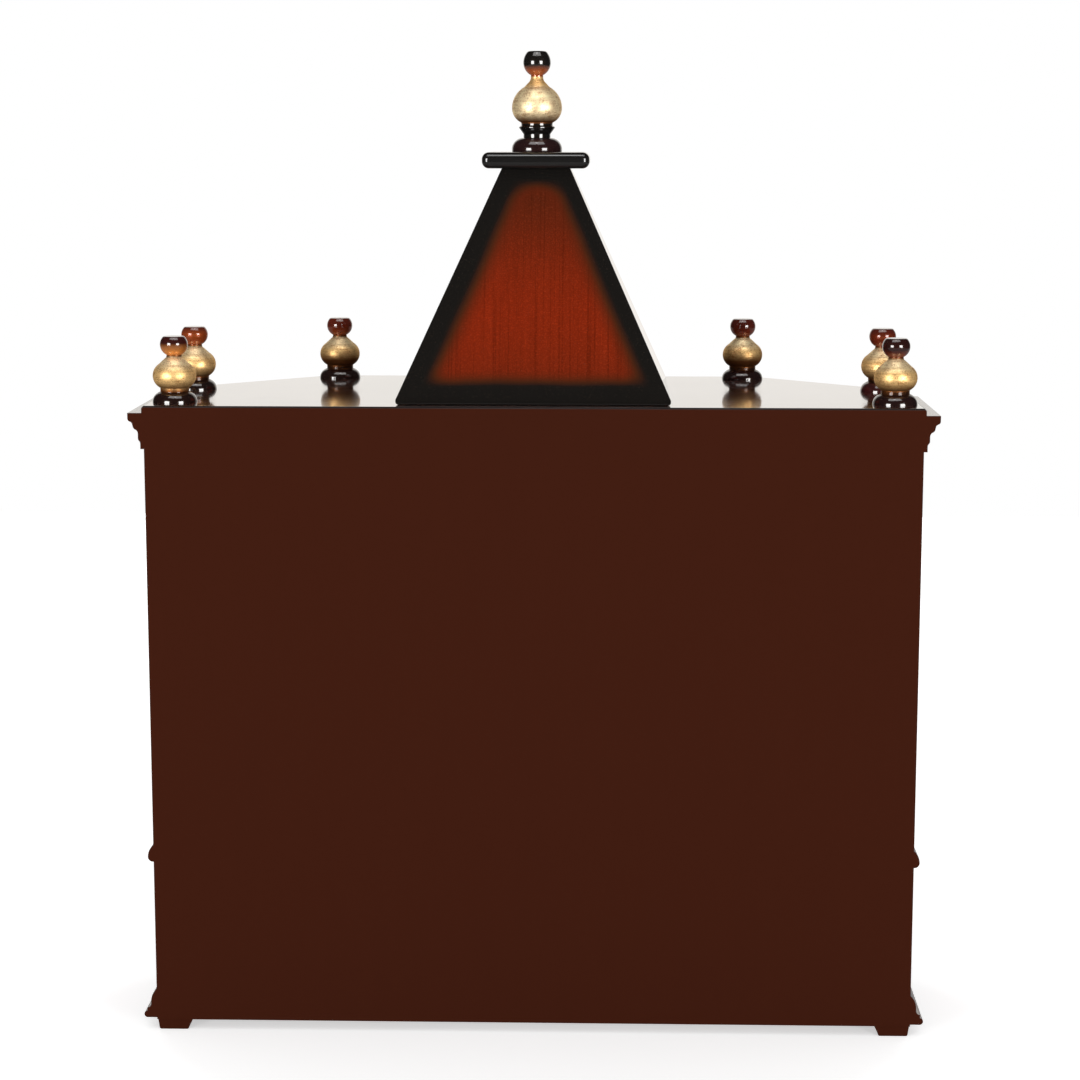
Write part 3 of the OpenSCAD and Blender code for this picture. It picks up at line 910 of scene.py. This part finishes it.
@dataclass
class LowerFront:
    """The cabinet's lower front: slanted panels, rail, stiles, drawer and knob."""

    border: Pair = (3.0, 22.0)
    chamfer_foot: Pair = (22.0, 40.0)
    chamfer_glow: Pair = (0.55, 1.2)
    drawer_glow: Pair = (0.5, 1.2)
    drawer_lines: Triple = (5.0, 620.0, 620.0)
    knob_rough: float = 0.34

    def dress(self, bench: Bench) -> None:
        """Spray the slanted panels and the drawer, lacquer the rail and stiles, gild the knob.

        Args:
            bench: The pieces and the shader groups.
        """
        for side in Side:
            name = side.name.lower()
            self.dress_chamfer(bench, bench.nodes[name + "_chamfer_panel"], side)
            bench.finish("front_stile_" + name, CARCASS_UPRIGHT)
        bench.finish("front_rail", CARCASS_WIDE)
        self.dress_drawer(bench, bench.nodes["drawer_front"])
        low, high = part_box("drawer_knob")
        height = (high.z - low.z) / MM
        bands = (Band(0.0, GOLD, 1.0), Band(height, GOLD, 1.0))
        knob = Turned("knob_gilding", low.z, height, bands, gold_rough=self.knob_rough)
        bench.finish("drawer_knob", knob)

    def dress_chamfer(self, bench: Bench, panel: Object, side: Side) -> None:
        """Spray one slanted panel's border.

        Args:
            bench: The pieces and the shader groups.
            panel: The slanted panel.
            side: The half of the shrine that it is on.
        """
        low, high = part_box(panel.name)
        bench.finish(panel.name, Burst(
            panel.name + "_lacquer", EMBER, Run.UPRIGHT,
            panel=Panel.upright(low, high, (side.value, 1.0)),
            side=self.border, foot=self.chamfer_foot, head=self.border, glow=self.chamfer_glow,
        ))

    def dress_drawer(self, bench: Bench, drawer: Object) -> None:
        """Spray the drawer front's border.

        Args:
            bench: The pieces and the shader groups.
            drawer: The drawer front.
        """
        low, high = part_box(drawer.name)
        bench.finish(drawer.name, Burst(
            "drawer_lacquer", EMBER, Run.ACROSS,
            panel=Panel.upright(low, high, (1.0, 0.0)), lines=self.drawer_lines,
            side=self.border, foot=self.border, head=self.border, glow=self.drawer_glow,
        ))


@dataclass
class Feet:
    """The four block feet, painted as the wall side is."""

    ends: tuple[str, ...] = ("rear", "front")

    def dress(self, bench: Bench) -> None:
        """Paint the feet.

        Args:
            bench: The pieces and the shader groups.
        """
        for end in self.ends:
            for side in Side:
                bench.finish(f"foot_{end}_{side.name.lower()}", BACK_PAINT)


@dataclass
class Mouldings:
    """The base, waist and crown mouldings, each in a front, a bay and a side run."""

    levels: tuple[str, ...] = ("base", "waist", "crown")

    def dress(self, bench: Bench) -> None:
        """Lacquer every run, and paint the side runs' wall ends.

        Args:
            bench: The pieces and the shader groups.
        """
        wall_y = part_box("back_panel")[1].y
        for level in self.levels:
            bench.finish(level + "_moulding_front", MOULDING_ALONG_X)
            bench.finish(level + "_moulding_bays", MOULDING_ALONG_X)
            sides = bench.finish(level + "_moulding_sides", MOULDING_ALONG_Y, BACK_PAINT)
            paint_wall_side(sides, wall_y)


@dataclass
class Deck:
    """The glossy deck board, with a dark rounded lip.

    A face within lip_height of the top belongs to the lip if it leans more than lip_tilt
    degrees from level. Where it leans more than painted_tilt towards the wall, it is painted.
    """

    lip_height: float = 2.5 * MM
    lip_tilt: float = 14.0
    painted_tilt: float = 58.0

    def dress(self, bench: Bench) -> None:
        """Lacquer the deck, darken its lip, and paint its wall side as far as the lip.

        Args:
            bench: The pieces and the shader groups.
        """
        wall_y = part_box("back_panel")[1].y
        deck = bench.finish("deck_board", DECK_LACQUER, BACK_PAINT, LIP_LACQUER)
        paint_wall_side(deck, wall_y)
        lip_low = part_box("deck_board")[1].z - self.lip_height
        flattest = math.cos(math.radians(self.lip_tilt))
        painted = math.sin(math.radians(self.painted_tilt))
        vertices = deck.data.vertices
        for face in deck.data.polygons:
            in_reach = all(vertices[v].co.z > lip_low for v in face.vertices)
            if in_reach and face.normal.z < flattest:
                slot = Slot.WALL if face.normal.y > painted else Slot.LIP
                face.material_index = slot.value


@dataclass
class Spire:
    """The four-sided spire and the slab that caps it.

    A face's sprayed outline is head_half to either side of its middle at the top, and slip
    sets that middle off from the spire's axis. Turns gives the way across each face.
    """

    head_half: float = 25.5 * MM
    slip: Vector = field(default_factory=lambda: Vector((-1.9 * MM, 0.0, 0.0)))
    turns: dict[str, Triple] = field(default_factory=lambda: {
        "spire_back": (1.0, 0.0, 0.0), "spire_front": (1.0, 0.0, 0.0),
        "spire_left": (0.0, 1.0, 0.0), "spire_right": (0.0, 1.0, 0.0),
    })

    def dress(self, bench: Bench) -> None:
        """Spray each face's border, and lacquer the cap.

        Args:
            bench: The pieces and the shader groups.
        """
        low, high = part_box("spire_back")
        axis = (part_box("spire_front")[0] + high) / 2
        middle, foot_half = tuple(axis + self.slip), (high.x - low.x) / 2
        for name, across in self.turns.items():
            outline = Panel(middle, across, low.z, high.z, foot_half, self.head_half)
            bench.finish(name, Burst(
                name + "_lacquer", EMBER, Run.UPRIGHT, panel=outline,
                contrast=0.36, flecks=0.06, gloss=0.01, ripple=0.001,
            ))
        bench.finish("cap_slab", BLACK_LACQUER)


@dataclass(frozen=True)
class Stain:
    """A corner finial's lacquer, and where its bands lie in millimetres above its foot.

    Crown, throat and foot are the colours on top, below the head and at the foot. The painted shade
    on the ball's underside starts at under and gives way to the gold at shade, and the crown's
    colour starts at turn.
    """

    crown: Colour
    throat: Colour
    foot: Colour
    under: float = 10.0
    shade: float = 14.5
    gilt: float = 0.4
    turn: float = 41.8
    soft: float = 5.0


@dataclass
class Finials:
    """The six corner finials and the taller one on the spire, in millimetres."""

    height: float = 50.0
    neck: float = 7.2
    shoulder: float = 27.0
    rim: float = 34.2
    throat: float = 35.8
    stains: dict[str, Stain] = field(default_factory=lambda: {
        "rear_right": Stain(
            paint(58, 20, 18), paint(216, 134, 64), paint(34, 18, 16),
            under=8.2, shade=12.5, gilt=0.5, soft=6.5,
        ),
        "rear_left": Stain(paint(46, 20, 18), paint(112, 48, 32), paint(38, 20, 20), turn=39.0),
        "mid_right": Stain(paint(98, 38, 22), paint(150, 66, 28), paint(32, 20, 19), turn=46.5),
        "mid_left": Stain(paint(84, 28, 20), paint(116, 42, 22), paint(62, 24, 26), turn=46.0),
        # The front finials' balls get a taller band of painted shade on their lower parts.
        "front_right": Stain(
            paint(100, 34, 20), paint(134, 56, 26), paint(40, 24, 22), shade=19.5
        ),
        "front_left": Stain(
            paint(84, 28, 20), paint(112, 40, 22), paint(40, 22, 22), shade=19.5
        ),
    })
    peak_height: float = 77.6
    # The peak's ball has painted shade on its lower part and a painted highlight over its middle.
    peak_bands: tuple[Band, ...] = (
        Band(0.0, paint(44, 24, 24)), Band(10.8, BLACK), Band(22.0, SHADED_GOLD, 1.0),
        Band(26.5, HIGHLIGHT_GOLD, 1.0, soft=6.0), Band(50.0, GOLD, 1.0, soft=4.0),
        Band(57.7, paint(158, 80, 44), 0.3, soft=1.0), Band(64.6, paint(24, 22, 21), soft=4.0),
    )

    def corner_bands(self, stain: Stain) -> tuple[Band, ...]:
        """A corner finial's bands, from its foot up.

        Args:
            stain: The finial's own colours and heights.

        Returns:
            The bands.
        """
        # Painted shade on the ball's lower part and in the crease under the head, and a painted
        # highlight on the ball's upper part.
        return (
            Band(0.0, stain.foot), Band(self.neck, NECK_BROWN, 0.7),
            Band(stain.under, SHADED_GOLD, 1.0), Band(stain.shade, GOLD, 1.0, soft=8.0),
            Band(self.shoulder, HIGHLIGHT_GOLD, 1.0, soft=6.0), Band(self.rim, SHADED_GOLD, 1.0, soft=1.8),
            Band(self.throat, stain.throat, stain.gilt),
            Band(stain.turn, stain.crown, soft=stain.soft),
        )

    def dress(self, bench: Bench) -> None:
        """Band every finial by height.

        Args:
            bench: The pieces and the shader groups.
        """
        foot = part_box("finial_rear_left")[0].z
        for corner, stain in self.stains.items():
            name = "finial_" + corner
            bands = self.corner_bands(stain)
            bench.finish(name, Turned(name + "_finish", foot, self.height, bands))
        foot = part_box("peak_finial")[0].z
        peak = Turned("finial_peak_finish", foot, self.peak_height, self.peak_bands)
        bench.finish("peak_finial", peak)


@dataclass
class Arcade:
    """The pillars and the foiled arches of the shrine's open front."""

    pillar_bands: tuple[Band, ...] = (
        Band(0.0, paint(52, 22, 17)), Band(24.0, BLACK), Band(31.0, GOLD, 1.0),
        Band(56.0, paint(120, 42, 22), soft=2.0),
    )

    def dress(self, bench: Bench) -> None:
        """Band the pillars by height, and lacquer the arches.

        Args:
            bench: The pieces and the shader groups.
        """
        low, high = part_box("mid_pillar_left")
        banded = Turned("pillar_finish", low.z, (high.z - low.z) / MM, self.pillar_bands)
        for place in ("mid", "front"):
            for side in Side:
                bench.finish(f"{place}_pillar_{side.name.lower()}", banded)
        for name in ("front_arch", "left_arch", "right_arch"):
            bench.finish(name, CARCASS_WIDE)


# ---- Studio ----


@dataclass(frozen=True)
class Lamp:
    """A square area lamp, aimed at the shrine and hung at both its sides.

    Turn is the angle round the shrine from its back, in degrees. Reach, rise and size are in
    metres, aim is the height that it points at, and power is in watts.
    """

    name: str
    turn: float
    reach: float
    rise: float
    size: float
    power: float
    lights: bool = True
    mirrored: bool = True
    aim: float = 0.45

    def hang(self, side: Side) -> None:
        """Hang the lamp, turned round the shrine from its back towards one side.

        Args:
            side: The side.
        """
        data = bpy.data.lights.new(f"{self.name}_{side.name.lower()}", "AREA")
        data.shape = "SQUARE"
        data.size = self.size
        data.energy = self.power
        lamp = bpy.data.objects.new(data.name, data)
        angle = math.radians(self.turn) * side.value
        lamp.location = (math.sin(angle) * self.reach, math.cos(angle) * self.reach, self.rise)
        way = Vector((0.0, 0.0, self.aim)) - lamp.location
        lamp.rotation_euler = way.to_track_quat("-Z", "Y").to_euler()
        lamp.visible_camera = False
        lamp.visible_diffuse = self.lights
        lamp.visible_glossy = self.mirrored
        bpy.context.scene.collection.objects.link(lamp)


@dataclass
class Studio:
    """Floor, world, lamps and camera.

    Reflections show a backdrop where the way out lies past backdrop_edge along Y and between
    backdrop_foot and backdrop_head along Z, each as where it starts and where it is full.
    """

    floor_size: float = 5.2
    floor_tone: float = 0.86
    floor_cloud: float = 0.01
    floor_lift: float = 0.5
    floor_mirror: float = 0.25
    world_level: float = 0.62
    backdrop_level: float = 1.0
    backdrop_tint: Colour = (1.0, 0.965, 0.915, 1.0)
    backdrop_edge: Pair = (-0.72, -0.92)
    backdrop_foot: Pair = (-0.3, -0.2)
    backdrop_head: Pair = (0.98, 0.6)
    shade_level: float = 0.02
    lamps: tuple[Lamp, ...] = (
        Lamp("softbox", 34.0, reach=3.4, rise=0.75, size=0.68, power=27.0, mirrored=False),
        Lamp("front_softbox", 146.0, reach=3.4, rise=0.75, size=0.68, power=27.0, mirrored=False),
        Lamp("window", 36.0, reach=3.4, rise=0.75, size=1.4, power=111.0, lights=False),
        Lamp("skylight", 28.0, reach=1.3, rise=3.3, size=1.5, power=22.0, lights=False),
    )
    film_width: float = 36.0
    lens: float = 84.979
    eye: Triple = (-0.057187, 2.037792, 0.690445)
    heading: Pair = (0.027038, -0.999634)
    pitch: float = 9.0258
    roll: float = 0.0456

    def build(self) -> None:
        """Make the whole studio."""
        self.lay_floor()
        self.light_world()
        for lamp in self.lamps:
            for side in Side:
                lamp.hang(side)
        self.set_camera()
        bpy.context.scene.view_settings.view_transform = "Standard"

    def lay_floor(self) -> None:
        """A plain pale floor, which shows as white except where the object shades it."""
        half = self.floor_size / 2
        corners = [(-half, -half, 0), (half, -half, 0), (half, half, 0), (-half, half, 0)]
        mesh = bpy.data.meshes.new("floor")
        mesh.from_pydata(corners, [], [range(len(corners))])
        floor = bpy.data.objects.new("floor", mesh)
        bpy.context.scene.collection.objects.link(floor)
        dress(floor, self.floor_finish())

    def floor_finish(self) -> Material:
        """The floor's white, which glows for the camera and is dimmer in reflections.

        Returns:
            The material.
        """
        material = new_material("floor_white")
        graph = Graph(material.node_tree)
        low, high = self.floor_tone - self.floor_cloud, self.floor_tone + self.floor_cloud
        cloud = graph.noise(graph.place(), scale=3.0, detail=3.0)
        cloud = graph.ease(cloud, 0.0, 1.0, low, high)
        rays = graph.add("LightPath").outputs
        step = self.floor_mirror - 1.0
        mirrored = graph.maths("MULTIPLY_ADD", rays["Is Glossy Ray"], step, 1.0)
        cloud = graph.times(cloud, mirrored)
        shade = graph.add("BsdfDiffuse", {"Color": graph.tinted(WHITE, cloud)})
        seen = graph.maths("MAXIMUM", rays["Is Camera Ray"], rays["Is Glossy Ray"])
        seen = graph.maths("MAXIMUM", seen, rays["Is Transmission Ray"])
        lift = graph.times(graph.times(seen, mirrored), self.floor_lift)
        glow = graph.add("Emission", {"Strength": lift})
        both = graph.add("AddShader", {0: shade.outputs[0], 1: glow.outputs[0]})
        graph.add("OutputMaterial", {"Surface": both.outputs[0]})
        return material

    def light_world(self) -> None:
        """White for the camera, even for diffuse light, and a backdrop in a dark room for gloss."""
        world = bpy.data.worlds.new("studio")
        world.use_nodes = True
        world.node_tree.nodes.clear()
        world.cycles.sampling_method = "NONE"
        bpy.context.scene.world = world
        graph = Graph(world.node_tree)
        way = graph.add("SeparateXYZ", {0: graph.add("TexCoord").outputs["Generated"]}).outputs
        ahead = graph.ease(way["Y"], *self.backdrop_edge)
        above = graph.ease(way["Z"], *self.backdrop_foot)
        above = graph.times(above, graph.ease(way["Z"], *self.backdrop_head))
        step = self.backdrop_level - self.shade_level
        mirror = graph.maths("MULTIPLY_ADD", graph.times(ahead, above), step, self.shade_level)
        rays = graph.add("LightPath").outputs
        bounced = graph.maths("MAXIMUM", rays["Is Glossy Ray"], rays["Is Transmission Ray"])
        step = graph.minus(mirror, self.world_level)
        level = graph.maths("MULTIPLY_ADD", step, bounced, self.world_level)
        step = graph.minus(1.0, level)
        level = graph.maths("MULTIPLY_ADD", step, rays["Is Camera Ray"], level)
        tint = graph.mix(bounced, WHITE, self.backdrop_tint)
        light = graph.add("Background", {"Color": tint, "Strength": level})
        graph.add("OutputWorld", {"Surface": light.outputs[0]})

    def set_camera(self) -> None:
        """Set the camera at its place, by its heading, pitch and roll."""
        data = bpy.data.cameras.new("camera")
        data.sensor_width = self.film_width
        data.lens = self.lens
        camera = bpy.data.objects.new("camera", data)
        pitch, roll = math.radians(self.pitch), math.radians(self.roll)
        level = Vector((*self.heading, 0.0)).normalized()
        ahead = level * math.cos(pitch) - Vector((0.0, 0.0, math.sin(pitch)))
        right = ahead.cross(Vector((0.0, 0.0, 1.0))).normalized()
        up = right.cross(ahead)
        turned_right = right * math.cos(roll) + up * math.sin(roll)
        turned_up = up * math.cos(roll) - right * math.sin(roll)
        axes = Matrix((turned_right, turned_up, -ahead)).transposed().to_4x4()
        camera.matrix_world = Matrix.Translation(self.eye) @ axes
        bpy.context.scene.collection.objects.link(camera)
        bpy.context.scene.camera = camera


def main() -> None:
    """Dress the frame piece by piece, then set up the studio."""
    logging.basicConfig(level=logging.INFO, format="%(name)s: %(message)s")
    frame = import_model()
    bench = Bench(frame["nodes"], Effects())
    cabinet = (Carcass(), LowerFront(), Feet(), Mouldings())
    for assembly in (*cabinet, Deck(), Spire(), Finials(), Arcade()):
        assembly.dress(bench)
        LOG.info("%s done", type(assembly).__name__)
    Studio().build()


if __name__ == "__main__":
    main()
